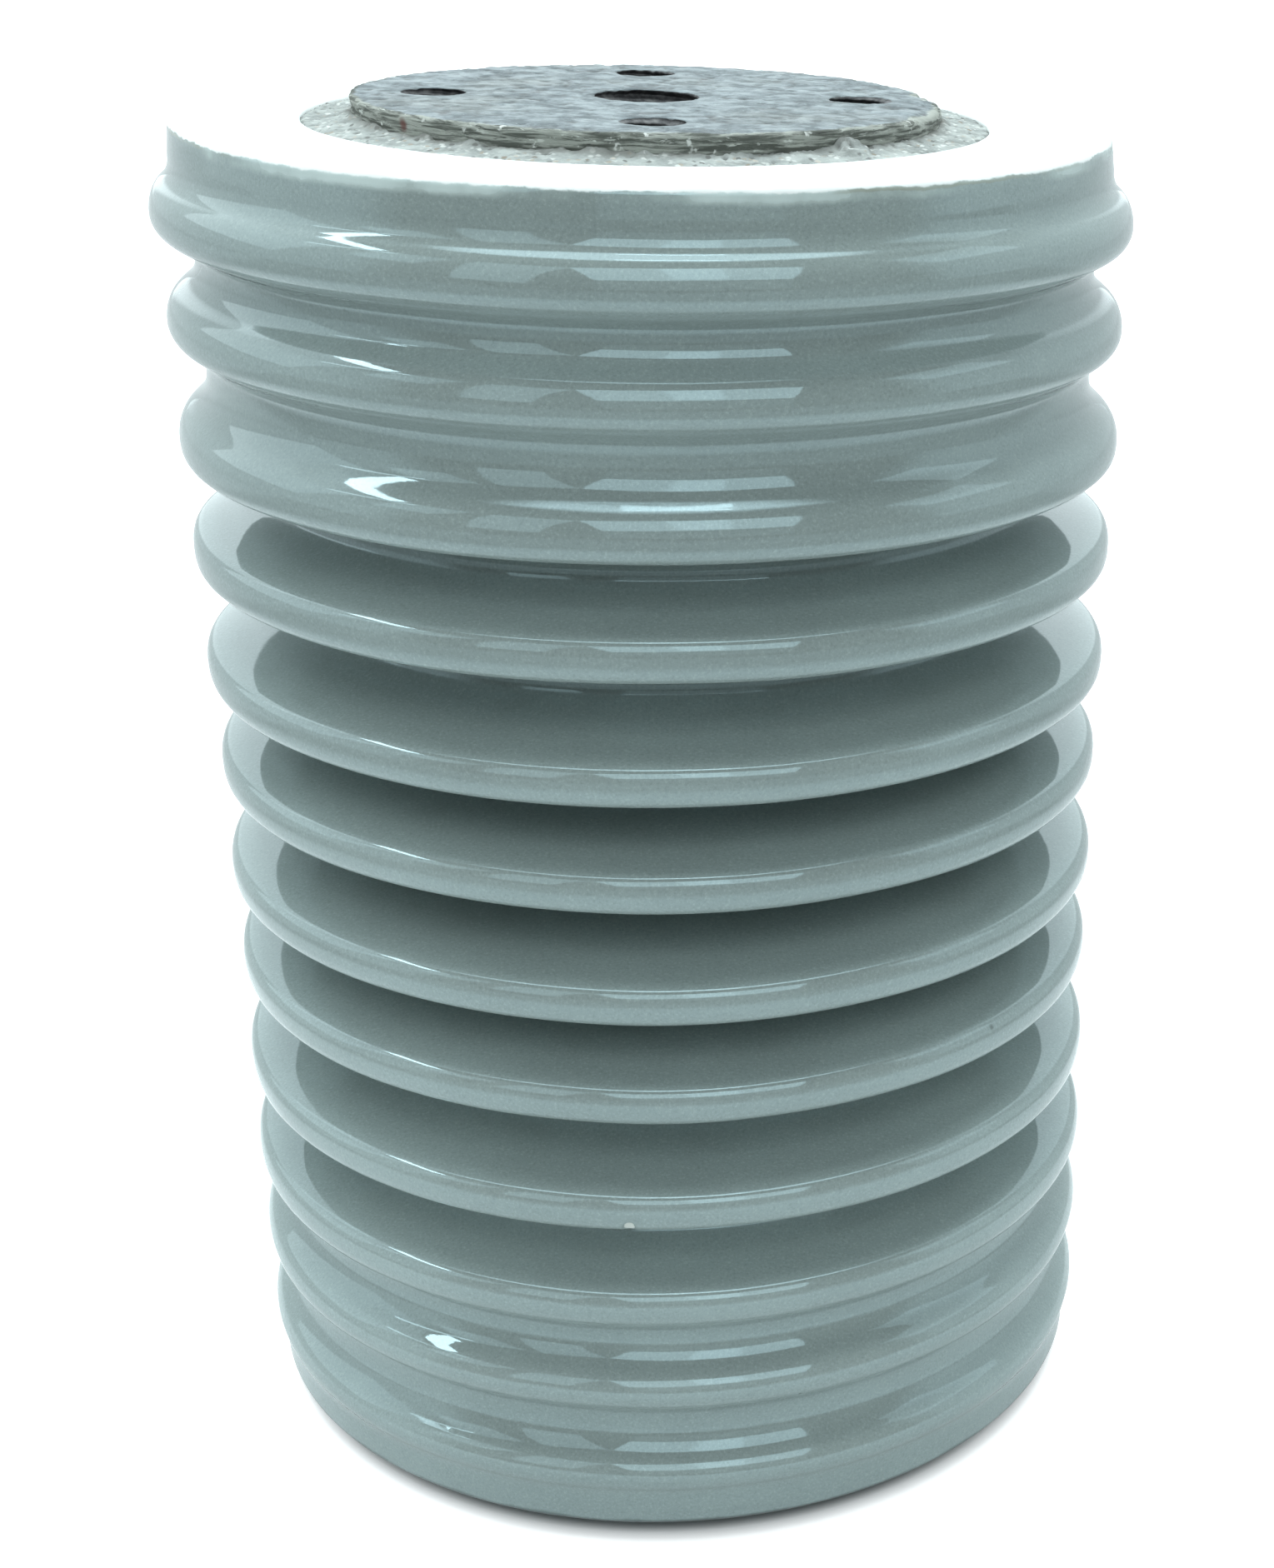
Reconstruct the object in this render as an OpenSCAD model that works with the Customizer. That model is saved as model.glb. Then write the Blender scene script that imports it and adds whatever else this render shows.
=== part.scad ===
// Ribbed porcelain post insulator with a cast insert cemented into each end.
// Millimetres, +Z up. The origin is the centre of the lower mounting face.

/* [Overall] */
// Distance between the two mounting faces
overall_h = 259; // [255:0.5:270]
// How far each insert stands proud of the porcelain end face
insert_proud = 4; // [3:0.5:6]

/* [Ribs] */
// Outside radius of a plain rib, over its nose
rib_r = 87.5; // [86.5:0.5:92]
// Half the thickness of a rib at its nose
nose_r = 4; // [3.5:0.1:4.4]
// How square a nose is on its deep side: 2 is a half round, more is flatter
nose_sq = 2.7; // [2:0.1:3.4]
// Height of the lowest rib above the porcelain's lower end
low_rib_up = 11.3; // [10.5:0.1:13]
// Drop of the highest rib below the porcelain's upper end
high_rib_down = 15.5; // [14.5:0.1:17]
// Neck radius of the shallow end grooves, over the sockets
shallow_neck_r = 82; // [80:0.5:83]
// Neck radius of the deep grooves next to the shallow ones
deep_neck_r = 72; // [70:0.5:75]
// Extra depth of the deepest groove, at mid height
waist_extra = 12; // [0:0.5:13]

/* [Collar and foot] */
// Outside radius of the plain collar above the top rib
collar_r = 84.2; // [83:0.1:85.5]
// How much the collar's wall widens towards the top rib
collar_flare = 0.5; // [0:0.1:1]
// Height of the collar's upright wall
collar_h = 5.8; // [5:0.1:7]
// Outside radius of the foot below the lowest rib
foot_r = 86; // [85:0.1:87]
// Rounding of the outer end edges
edge_round = 1.6; // [0.8:0.1:2.5]

/* [Sockets] */
// Radius of the socket in each end
socket_r = 61.7; // [60.5:0.1:64]
// Depth of the socket from the end face
socket_deep = 45; // [42:0.5:50]
// Bevel between the socket wall and its floor
socket_bevel = 3; // [2:0.5:4]
// Thickness of the sanded grit layer on the socket wall
grit_t = 1; // [0.5:0.1:1.5]

/* [Inserts] */
// Radius of the cast insert
insert_r = 53; // [50:0.5:54]
// Thickness of the soft disc between insert and socket floor
disc_t = 3; // [2:0.5:4]
// Depth of the keying grooves round the insert
key_deep = 3.5; // [2:0.5:4]
// Thickness of the bituminous coat on the insert
film_t = 0.5; // [0.3:0.1:0.8]
// How far the cement sits below the porcelain end face at the socket wall
cement_low = 0.4; // [0.2:0.1:1]
// How far the cement climbs up the insert from there
cement_rise = 1.1; // [0:0.1:1.6]

/* [Tapped holes] */
// Core radius of the centre thread
centre_core_r = 8.65; // [6:0.05:9]
// Full depth of the centre thread
centre_deep = 30; // [20:1:34]
// Circle on which the four outer threads lie (diameter)
bolt_circle = 76; // [70:0.5:78]
// Core radius of the outer threads
bolt_core_r = 5.1; // [4:0.05:5.5]
// Full depth of the outer threads
bolt_deep = 22; // [16:1:26]
// Mouth bevel of every thread
mouth_bevel = 0.4; // [0.2:0.1:0.8]

/* [Hidden] */

porcelain_color = [0.74, 0.80, 0.80];
insert_color = [0.50, 0.52, 0.50];
cement_color = [0.72, 0.73, 0.70];
sand_color = [0.70, 0.63, 0.50];
bitumen_color = [0.06, 0.06, 0.07];
cushion_color = [0.58, 0.42, 0.27];

turn = 144;         // facets of a full turn
hole_facets = 64;

// Cubic Bezier from start to end, without the two end points
function bezier(start, pull_1, pull_2, end, steps) =
    [for (k = [1 : steps - 1]) let (t = k / steps, s = 1 - t)
        s * s * s * start + 3 * s * s * t * pull_1 + 3 * s * t * t * pull_2 + t * t * t * end];
function reversed(list) = [for (k = [len(list) - 1 : -1 : 0]) list[k]];
// Power of the size of a value, keeping its sign
function power(v, exponent) = sign(v) * pow(abs(v), exponent);

// ---- Rib noses. Ribs count from 0 at the top; groove j lies below rib j.
// Each rib's offset from the even pitch, and from the plain radius
rib_lift  = [0, 2, 1.5, 1.5, 0, 0.5, -0.5, 0, -1.5, -2.5, -1, 0];
rib_swell = [1.3, 0.3, 0.4, -0.1, -0.3, -0.9, -0.7, -0.9, -0.4, -0.1, 0, 0];
// Height of the upper half of each nose, in plain half noses
rib_tall  = [1.5, 1.4, 1.4, 1.1, 1, 1, 1, 1, 1, 1.15, 1.15, 1.1];

ribs = len(rib_lift);
grooves = ribs - 1;
shallow_grooves = 2;    // at each end
nose_steps = 10;

z_low = insert_proud;
z_high = overall_h - insert_proud;
rib_pitch = (z_high - high_rib_down - z_low - low_rib_up) / grooves;

function is_deep(j) = j >= shallow_grooves && j < grooves - shallow_grooves;
function rib_z(i) = z_high - high_rib_down - i * rib_pitch + rib_lift[i];

// Angles above and below the nose's middle where its arc ends
function angle_over(i) = i == 0 ? 60 : is_deep(i - 1) ? 70 : 56;
function angle_under(i) = i == ribs - 1 ? 38 : is_deep(i) ? 78 : 58;

// A half nose is a superellipse beside a deep groove, and a plain arc of
// exponent 2 beside a shallow one or an end. Positive angles are its upper half.
function nose_exponent(i, angle) = is_deep(angle > 0 ? i - 1 : i) ? nose_sq : 2;
function half_tall(i, angle) = angle > 0 ? rib_tall[i] : 1;
function on_nose(i, angle) = let (e = 2 / nose_exponent(i, angle))
    [rib_r + rib_swell[i] - nose_r + nose_r * power(cos(angle), e),
     rib_z(i) + half_tall(i, angle) * nose_r * power(sin(angle), e)];
// Unit tangent of the nose, pointing inwards to the neck
function nose_tangent(i, angle) = let (
    e = 2 - 2 / nose_exponent(i, angle),
    x = half_tall(i, angle) * power(cos(angle), e),
    y = power(sin(angle), e))
    [-abs(y), (angle > 0 ? 1 : -1) * x] / norm([x, y]);

// Nose of rib i, from its upper end round to its lower end
function nose(i) = let (from = angle_over(i), to = -angle_under(i))
    [for (k = [0 : nose_steps]) on_nose(i, from + (to - from) * k / nose_steps)];

// ---- Grooves
low_shallow_extra = 0.8;    // extra depth of the shallow groove below the deep ones
neck_share = 0.44;          // neck's place between the noses, from the upper one
// Bezier pulls of the flanks, as shares of their width or height
upper_flank_pull = 0.72;
upper_neck_pull = 0.70;
lower_flank_pull = 0.62;
lower_neck_pull = 0.55;
groove_steps = 7;

// 1 at the middle groove, falling to 0 at the outermost deep ones
function waist_share(j) = let (middle = (grooves - 1) / 2)
    1 - abs(j - middle) / (middle - shallow_grooves);
function neck_r(j) = is_deep(j)
    ? deep_neck_r - waist_extra * waist_share(j)
    : shallow_neck_r - (j == grooves - shallow_grooves ? low_shallow_extra : 0);

// Groove j, between the end of nose j and the start of nose j + 1
function groove(j) = let (
    under = -angle_under(j),
    over = angle_over(j + 1),
    start = on_nose(j, under),
    end = on_nose(j + 1, over),
    neck = [neck_r(j), start[1] + (end[1] - start[1]) * neck_share],
    start_pull = (start[0] - neck[0]) * upper_flank_pull,
    end_pull = (end[0] - neck[0]) * lower_flank_pull,
    neck_up = (start[1] - neck[1]) * upper_neck_pull,
    neck_down = (neck[1] - end[1]) * lower_neck_pull)
    concat(
        bezier(start, start + start_pull * nose_tangent(j, under),
            neck + [0, neck_up], neck, groove_steps),
        [neck],
        bezier(neck, neck - [0, neck_down],
            end + end_pull * nose_tangent(j + 1, over), end, groove_steps));

// ---- Porcelain outline. end_sign is 1 at the upper end and -1 at the lower.
socket_mouth_bevel = 0.8;
foot_drop = 3.2;            // from the lowest nose's end to the foot's wall
// Bezier pulls of the curves joining collar and foot to the ribs
collar_wall_pull = [0, -2.2];
collar_nose_pull = 1.7 * [-0.788, 0.615];
foot_nose_pull = [-0.5, -0.6];
foot_wall_pull = [0, 1.2];
collar_steps = 7;
foot_steps = 4;
edge_steps = 4;

// Rounded outer end edge, from top to bottom
function end_edge(r, z, end_sign) =
    [for (k = [0 : edge_steps])
        let (share = k / edge_steps, angle = 90 * (end_sign > 0 ? 1 - share : share))
        [r - edge_round + edge_round * cos(angle),
         z + end_sign * edge_round * (sin(angle) - 1)]];

function outer_line() = let (
    top_nose = on_nose(0, angle_over(0)),
    collar_end = [collar_r + collar_flare, z_high - collar_h],
    low_nose = on_nose(ribs - 1, -angle_under(ribs - 1)),
    foot_start = [foot_r, low_nose[1] - foot_drop])
    concat(
        end_edge(collar_r, z_high, 1),
        [collar_end],
        bezier(collar_end, collar_end + collar_wall_pull,
            top_nose + collar_nose_pull, top_nose, collar_steps),
        [for (i = [0 : ribs - 1]) each concat(nose(i), i < grooves ? groove(i) : [])],
        bezier(low_nose, low_nose + foot_nose_pull,
            foot_start + foot_wall_pull, foot_start, foot_steps),
        [foot_start],
        end_edge(foot_r, z_low, -1));

// Socket from its mouth to the centre of its floor
function socket_line(face_z, end_sign) = [
    [socket_r + socket_mouth_bevel, face_z],
    [socket_r, face_z - end_sign * socket_mouth_bevel],
    [socket_r, face_z - end_sign * (socket_deep - socket_bevel)],
    [socket_r - socket_bevel, face_z - end_sign * socket_deep],
    [0, face_z - end_sign * socket_deep]];

module porcelain_body() {
    color(porcelain_color)
    rotate_extrude($fn = turn)
    polygon(concat(reversed(socket_line(z_high, 1)), outer_line(), socket_line(z_low, -1)));
}

// ---- End pieces. Each is drawn for one end with its mounting face at z = 0
// and the socket running down to -Z, then placed at both ends.
module top_end() { translate([0, 0, overall_h]) children(); }
module bottom_end() { mirror([0, 0, 1]) children(); }

insert_h = insert_proud + socket_deep - disc_t;
insert_bevel = 0.8;
key_first = 0.29;           // top of the first keying groove, in insert heights
key_pitch = 0.35;           // from one keying groove to the next, likewise
key_flank = 2.5;            // height of a sloped flank
key_floor = 4.5;            // height of the groove floor
drill_tip = 0.6;            // height of a hole's conical end, in core radii
cut_over = 1;               // how far cutters run past the faces they cut

floor_z = -insert_proud - socket_deep;
rim_z = -insert_proud - cement_low;     // cement's edge at the socket wall
film_top = rim_z - 0.6;
film_bottom = -insert_h + insert_bevel;
band_top = rim_z - 5;
bevel_top = floor_z + socket_bevel;
band_bottom = bevel_top + 1;
film_r = insert_r + film_t;
band_r = socket_r - grit_t;
// Knee in the cement's top: distance out from the insert, and share of the rise
cement_knee_out = 3;
cement_knee_share = 0.6;

// The two keying grooves, top to bottom, on a side wall of radius wall_r
function key_line(wall_r) = [for (k = [0, 1])
    let (z = -insert_h * (key_first + key_pitch * k), key_r = wall_r - key_deep)
    each [[wall_r, z], [key_r, z - key_flank],
          [key_r, z - key_flank - key_floor], [wall_r, z - 2 * key_flank - key_floor]]];

// Cutter for one hole: core, conical end and bevelled mouth
module tapped(core_r, deep) {
    tip_h = core_r * drill_tip;
    translate([0, 0, -deep])
        cylinder(h = deep + cut_over, r = core_r, $fn = hole_facets);
    translate([0, 0, -deep - tip_h])
        cylinder(h = tip_h, r1 = 0, r2 = core_r, $fn = hole_facets);
    translate([0, 0, -mouth_bevel])
        cylinder(h = mouth_bevel * 2, r1 = core_r, r2 = core_r + mouth_bevel * 2,
            $fn = hole_facets);
}

module insert() {
    difference() {
        rotate_extrude($fn = turn)
        polygon(concat(
            [[0, 0], [insert_r - insert_bevel, 0], [insert_r, -insert_bevel]],
            key_line(insert_r),
            [[insert_r, film_bottom], [insert_r - insert_bevel, -insert_h], [0, -insert_h]]));
        tapped(centre_core_r, centre_deep);
        for (a = [0 : 90 : 270]) rotate([0, 0, a]) translate([bolt_circle / 2, 0, 0])
            tapped(bolt_core_r, bolt_deep);
    }
}

// Coat on the insert's side, following the keying grooves
module film() {
    rotate_extrude($fn = turn)
    polygon(concat(
        [[insert_r, film_top], [film_r, film_top]],
        key_line(film_r),
        [[film_r, film_bottom], [insert_r, film_bottom]],
        reversed(key_line(insert_r))));
}

// Fills the socket round the insert, film and sand band
module cement() {
    rotate_extrude($fn = turn)
    polygon(concat(
        [[insert_r, rim_z + cement_rise],
         [insert_r + cement_knee_out, rim_z + cement_rise * cement_knee_share],
         [socket_r, rim_z],
         [socket_r, band_top], [band_r, band_top],
         [band_r, band_bottom], [socket_r, band_bottom],
         [socket_r, bevel_top], [socket_r - socket_bevel, floor_z], [insert_r, floor_z],
         [insert_r, film_bottom], [film_r, film_bottom]],
        reversed(key_line(film_r)),
        [[film_r, film_top], [insert_r, film_top]]));
}

module sand_band() {
    band_h = band_top - band_bottom;
    translate([0, 0, band_bottom])
    difference() {
        cylinder(h = band_h, r = socket_r, $fn = turn);
        translate([0, 0, -cut_over])
            cylinder(h = band_h + 2 * cut_over, r = band_r, $fn = turn);
    }
}

module cushion_disc() {
    translate([0, 0, floor_z]) cylinder(h = disc_t, r = insert_r, $fn = turn);
}

module top_insert() { color(insert_color) top_end() insert(); }
module bottom_insert() { color(insert_color) bottom_end() insert(); }
module top_cement() { color(cement_color) top_end() cement(); }
module bottom_cement() { color(cement_color) bottom_end() cement(); }
module top_sand_band() { color(sand_color) top_end() sand_band(); }
module bottom_sand_band() { color(sand_color) bottom_end() sand_band(); }
module top_bitumen_film() { color(bitumen_color) top_end() film(); }
module bottom_bitumen_film() { color(bitumen_color) bottom_end() film(); }
module top_cushion_disc() { color(cushion_color) top_end() cushion_disc(); }
module bottom_cushion_disc() { color(cushion_color) bottom_end() cushion_disc(); }

porcelain_body();
top_insert();
bottom_insert();
top_cement();
bottom_cement();
top_sand_band();
bottom_sand_band();
top_bitumen_film();
bottom_bitumen_film();
top_cushion_disc();
bottom_cushion_disc();
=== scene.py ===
import math

import bpy
import numpy as np
from mathutils import Matrix, Vector
from mathutils.geometry import delaunay_2d_cdt


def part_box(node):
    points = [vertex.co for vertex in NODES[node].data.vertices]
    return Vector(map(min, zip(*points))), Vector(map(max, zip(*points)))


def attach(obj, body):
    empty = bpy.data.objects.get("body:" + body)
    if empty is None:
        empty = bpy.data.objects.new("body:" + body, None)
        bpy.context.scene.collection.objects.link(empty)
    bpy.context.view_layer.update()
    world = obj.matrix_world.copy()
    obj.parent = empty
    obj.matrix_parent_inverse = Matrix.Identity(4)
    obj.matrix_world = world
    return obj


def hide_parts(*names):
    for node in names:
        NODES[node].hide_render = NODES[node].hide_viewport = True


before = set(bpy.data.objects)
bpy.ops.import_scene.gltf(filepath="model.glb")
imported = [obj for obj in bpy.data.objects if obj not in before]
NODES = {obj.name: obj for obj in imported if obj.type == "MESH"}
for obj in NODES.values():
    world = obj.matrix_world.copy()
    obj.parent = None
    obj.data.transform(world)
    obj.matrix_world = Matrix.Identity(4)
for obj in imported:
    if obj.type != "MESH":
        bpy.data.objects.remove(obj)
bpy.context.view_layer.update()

MM = 0.001
body_lo, body_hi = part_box("porcelain_body")
ins_lo, ins_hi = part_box("top_insert")
H = ins_hi.z / MM                      # between mounting faces
PROUD = body_lo.z / MM                 # insert stands this far proud of the porcelain
INS_R = ins_hi.x / MM
INS_H = (ins_hi.z - ins_lo.z) / MM
SOCK_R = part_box("top_cement")[1].x / MM
SOCK_FLOOR = (ins_hi.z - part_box("top_cushion_disc")[0].z) / MM
Z_LOW, Z_HIGH = PROUD, H - PROUD


# ------------------------------------------------------------------ noise
def _hash(ix, iy, iz, seed):
    with np.errstate(over="ignore"):
        h = (ix.astype(np.uint32) * np.uint32(374761393) + iy.astype(np.uint32) * np.uint32(668265263)
             + iz.astype(np.uint32) * np.uint32(2246822519) + np.uint32(seed & 0xffff) * np.uint32(3266489917))
        h ^= h >> np.uint32(15)
        h *= np.uint32(2246822519)
        h ^= h >> np.uint32(13)
        h *= np.uint32(3266489917)
        h ^= h >> np.uint32(16)
    return h.astype(np.float64) / 4294967296.0


def noise(p, scale, seed=0):
    """Smooth value noise, 0 to 1, at the points p (N, 3), with features of the given size."""
    q = np.asarray(p, float) / scale
    i = np.floor(q)
    f = q - i
    u = f * f * f * (f * (f * 6 - 15) + 10)
    i = i.astype(np.int64)
    out = np.zeros(len(q))
    for dx in (0, 1):
        wx = u[:, 0] if dx else 1 - u[:, 0]
        for dy in (0, 1):
            wy = u[:, 1] if dy else 1 - u[:, 1]
            for dz in (0, 1):
                wz = u[:, 2] if dz else 1 - u[:, 2]
                out += wx * wy * wz * _hash(i[:, 0] + dx, i[:, 1] + dy, i[:, 2] + dz, seed)
    return out


def fbm(p, scale, seed=0, octaves=4, gain=0.5):
    out, amp, total = np.zeros(len(p)), 1.0, 0.0
    for k in range(octaves):
        out += amp * noise(p, scale / 2.03 ** k, seed + 17 * k)
        total += amp
        amp *= gain
    return out / total


def ridged(p, scale, seed=0, octaves=4, gain=0.55):
    out, amp, total = np.zeros(len(p)), 1.0, 0.0
    for k in range(octaves):
        out += amp * (1 - np.abs(2 * noise(p, scale / 2.1 ** k, seed + 31 * k) - 1))
        total += amp
        amp *= gain
    return out / total


def cells(p, scale, seed=0):
    """Distance to the nearest and second nearest of a jittered point per cell, in cell units, in the plane of p's first two columns."""
    q = np.asarray(p, float)[:, :2] / scale
    i = np.floor(q).astype(np.int64)
    f1, f2 = np.full(len(q), 9.0), np.full(len(q), 9.0)
    zero = np.zeros(len(q), np.int64)
    for dx in (-1, 0, 1):
        for dy in (-1, 0, 1):
            cx, cy = i[:, 0] + dx, i[:, 1] + dy
            px = cx + _hash(cx, cy, zero, seed)
            py = cy + _hash(cx, cy, zero, seed + 5)
            d = np.hypot(q[:, 0] - px, q[:, 1] - py)
            f2 = np.where(d < f1, f1, np.minimum(f2, d))
            f1 = np.minimum(f1, d)
    return f1, f2


def smooth(a, b, x):
    t = np.clip((np.asarray(x, float) - a) / (b - a), 0, 1)
    return t * t * (3 - 2 * t)


# ------------------------------------------------------------------ mesh helpers
def make_mesh(name, co, faces, attrs=None, smooth_shade=True, flip=False, sharp=None):
    """co in mm (N, 3). faces: list of index arrays, each (M, k)."""
    me = bpy.data.meshes.new(name)
    co = np.asarray(co, np.float64) * MM
    loops, starts, totals, at = [], [], [], 0
    for f in faces:
        f = np.asarray(f, np.int64)
        if not len(f):
            continue
        if flip:
            f = f[:, ::-1]
        k = f.shape[1]
        loops.append(f.ravel())
        starts.append(at + np.arange(len(f)) * k)
        totals.append(np.full(len(f), k))
        at += len(f) * k
    loops, starts, totals = np.concatenate(loops), np.concatenate(starts), np.concatenate(totals)
    me.vertices.add(len(co))
    me.vertices.foreach_set("co", co.astype(np.float32).ravel())
    me.loops.add(len(loops))
    me.loops.foreach_set("vertex_index", loops.astype(np.int32))
    me.polygons.add(len(starts))
    me.polygons.foreach_set("loop_start", starts.astype(np.int32))
    me.update(calc_edges=True)
    me.validate()
    me.polygons.foreach_set("use_smooth", np.full(len(me.polygons), smooth_shade))
    for key, val in (attrs or {}).items():
        a = me.attributes.new(key, "FLOAT", "POINT")
        a.data.foreach_set("value", np.asarray(val, np.float32))
    me.update()
    ob = bpy.data.objects.new(name, me)
    bpy.context.scene.collection.objects.link(ob)
    return ob


def grid_faces(rows, cols, base=0, close=True):
    """Quads between consecutive rows of a (rows, cols) grid of vertices, closed round the columns."""
    r = np.arange(rows - 1)[:, None]
    c = np.arange(cols if close else cols - 1)[None, :]
    n = (c + 1) % cols
    a, b = base + r * cols + c, base + r * cols + n
    return np.stack([a, b, b + cols, a + cols], -1).reshape(-1, 4)


def bez(a, b, c, d, n):
    t = (np.arange(1, n) / n)[:, None]
    s = 1 - t
    a, b, c, d = map(np.asarray, (a, b, c, d))
    return s ** 3 * a + 3 * s * s * t * b + 3 * s * t * t * c + t ** 3 * d


# ------------------------------------------------------------------ porcelain
RIB_R, NOSE_R, LOW_UP, HIGH_DOWN = 87.5, 4.0, 11.3, 15.5
LIFT = [0, 2, 1.5, 1.5, 0, 0.5, -0.5, 0, -1.5, -2.5, -1, 0]
TALL = [1.5, 1.4, 1.4, 1.1, 1, 1, 1, 1, 1, 1.15, 1.15, 1.1]      # upper half of each nose, in noses
SWELL = [1.3, 0.3, 0.4, -0.1, -0.3, -0.9, -0.7, -0.9, -0.4, -0.1, 0, 0]
RIBS = 12
PITCH = (Z_HIGH - HIGH_DOWN - Z_LOW - LOW_UP) / (RIBS - 1)
COLLAR_R, COLLAR_FLARE, COLLAR_H, FOOT_R, EDGE = 84.2, 0.5, 5.8, 86.0, 1.6
NOSE_SQ = 2.7


def rib_z(i):
    return Z_HIGH - HIGH_DOWN - i * PITCH + LIFT[i]


def rib_rad(i):
    return RIB_R + SWELL[i]


def shallow(j):
    return j < 2 or j > RIBS - 4


def neck_rad(j):
    if shallow(j):
        return 82 - (0.8 if j == RIBS - 3 else 0)
    return 72 - 12 * max(0, 1 - abs(j - 5) / 3)


def under_a(j):
    return 58 if shallow(j) else 78


def over_a(j):
    return 56 if shallow(j) else 70


def power(v, e):
    return math.copysign(abs(v) ** e, v)


def nose_square(i, a):
    deep_side = (i > 0 and not shallow(i - 1)) if a > 0 else (i < RIBS - 1 and not shallow(i))
    return NOSE_SQ if deep_side else 2.0


def on_nose(i, a):
    e = 2 / nose_square(i, a)
    a = math.radians(a)
    return np.array([rib_rad(i) - NOSE_R + NOSE_R * power(math.cos(a), e), rib_z(i) + (TALL[i] if a > 0 else 1) * NOSE_R * power(math.sin(a), e)])


def nose_way(i, a):
    e = 2 - 2 / nose_square(i, a)
    r = math.radians(a)
    x, y = power(math.cos(r), e) * (TALL[i] if a > 0 else 1), power(math.sin(r), e)
    return np.array([-abs(y), (1 if a > 0 else -1) * x]) / math.hypot(x, y)


def nose(i, a, b, n=11):
    return [on_nose(i, a + (b - a) * k / n) for k in range(n + 1)]


def groove(j):
    p, q = on_nose(j, -under_a(j)), on_nose(j + 1, over_a(j))
    n = np.array([neck_rad(j), p[1] + (q[1] - p[1]) * 0.44])
    rp, rq = (p[0] - n[0]) * 0.72, (q[0] - n[0]) * 0.62
    up, down = (p[1] - n[1]) * 0.70, (n[1] - q[1]) * 0.55
    steps = 8 if shallow(j) else 9
    return (list(bez(p, p + rp * nose_way(j, -under_a(j)), n + [0, up], n, steps)) + [n]
            + list(bez(n, n - [0, down], q + rq * nose_way(j + 1, over_a(j)), q, steps)))


def body_profile():
    """Closed line (r, z) of the body, in mm, from the upper socket floor's centre, out over the top, down the ribs and in to the lower socket floor's centre, with a code for each point: 0 socket, 1 bare end face, 2 glazed."""
    pts, code = [], []

    def add(ps, c):
        for p in ps:
            pts.append(np.asarray(p, float))
            code.append(c)

    zf = H - SOCK_FLOOR
    bev = 3.0
    add([[r, zf] for r in (20, 40, SOCK_R - bev - 6)], 0)
    add([[SOCK_R - bev, zf], [SOCK_R, zf + bev]], 0)
    add([[SOCK_R, zf + bev + (Z_HIGH - 0.8 - zf - bev) * t] for t in (0.25, 0.5, 0.75, 0.97)], 0)
    add([[SOCK_R, Z_HIGH - 0.8], [SOCK_R + 0.15, Z_HIGH - 0.3], [SOCK_R + 0.8, Z_HIGH]], 1)
    add([[r, Z_HIGH] for r in np.linspace(SOCK_R + 1.6, COLLAR_R - EDGE - 0.8, 14)], 1)
    add([[COLLAR_R - EDGE + EDGE * math.sin(math.radians(a)), Z_HIGH - EDGE + EDGE * math.cos(math.radians(a))]
         for a in np.linspace(0, 90, 8)], 2)
    top_on = on_nose(0, 60)
    wall_end = np.array([COLLAR_R + COLLAR_FLARE, Z_HIGH - COLLAR_H])
    rim_end = np.array([COLLAR_R, Z_HIGH - EDGE])
    add([rim_end + (wall_end - rim_end) * t for t in (0.25, 0.5, 0.75)], 2)
    add([wall_end], 2)
    add(bez(wall_end, wall_end - [0, 2.2], top_on + 1.7 * np.array([-0.788, 0.615]), top_on, 9), 2)
    add(nose(0, 60, -under_a(0)), 2)
    for j in range(RIBS - 1):
        add(groove(j), 2)
        add(nose(j + 1, over_a(j), -38 if j == RIBS - 2 else -under_a(j + 1), 9 if j == RIBS - 2 else 11), 2)
    low_on = on_nose(RIBS - 1, -38)
    foot_on = np.array([FOOT_R, low_on[1] - 3.2])
    add(bez(low_on, low_on - [0.5, 0.6], foot_on + [0, 1.2], foot_on, 5), 2)
    add([foot_on], 2)
    add([[FOOT_R, foot_on[1] + (Z_LOW + EDGE - foot_on[1]) * 0.5]], 2)
    add([[FOOT_R - EDGE + EDGE * math.cos(math.radians(a)), Z_LOW + EDGE - EDGE * math.sin(math.radians(a))]
         for a in np.linspace(0, 90, 8)], 2)
    add([[r, Z_LOW] for r in np.linspace(FOOT_R - EDGE - 0.8, SOCK_R + 1.6, 12)], 1)
    add([[SOCK_R + 0.8, Z_LOW], [SOCK_R + 0.15, Z_LOW + 0.3], [SOCK_R, Z_LOW + 0.8]], 1)
    zg = SOCK_FLOOR
    add([[SOCK_R, zg - bev - (zg - bev - Z_LOW - 0.8) * t] for t in (0.97, 0.75, 0.5, 0.25)][::1], 0)
    add([[SOCK_R, zg - bev], [SOCK_R - bev, zg]], 0)
    add([[r, zg] for r in (SOCK_R - bev - 6, 40, 20)], 0)
    return np.array(pts), np.array(code)


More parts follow.
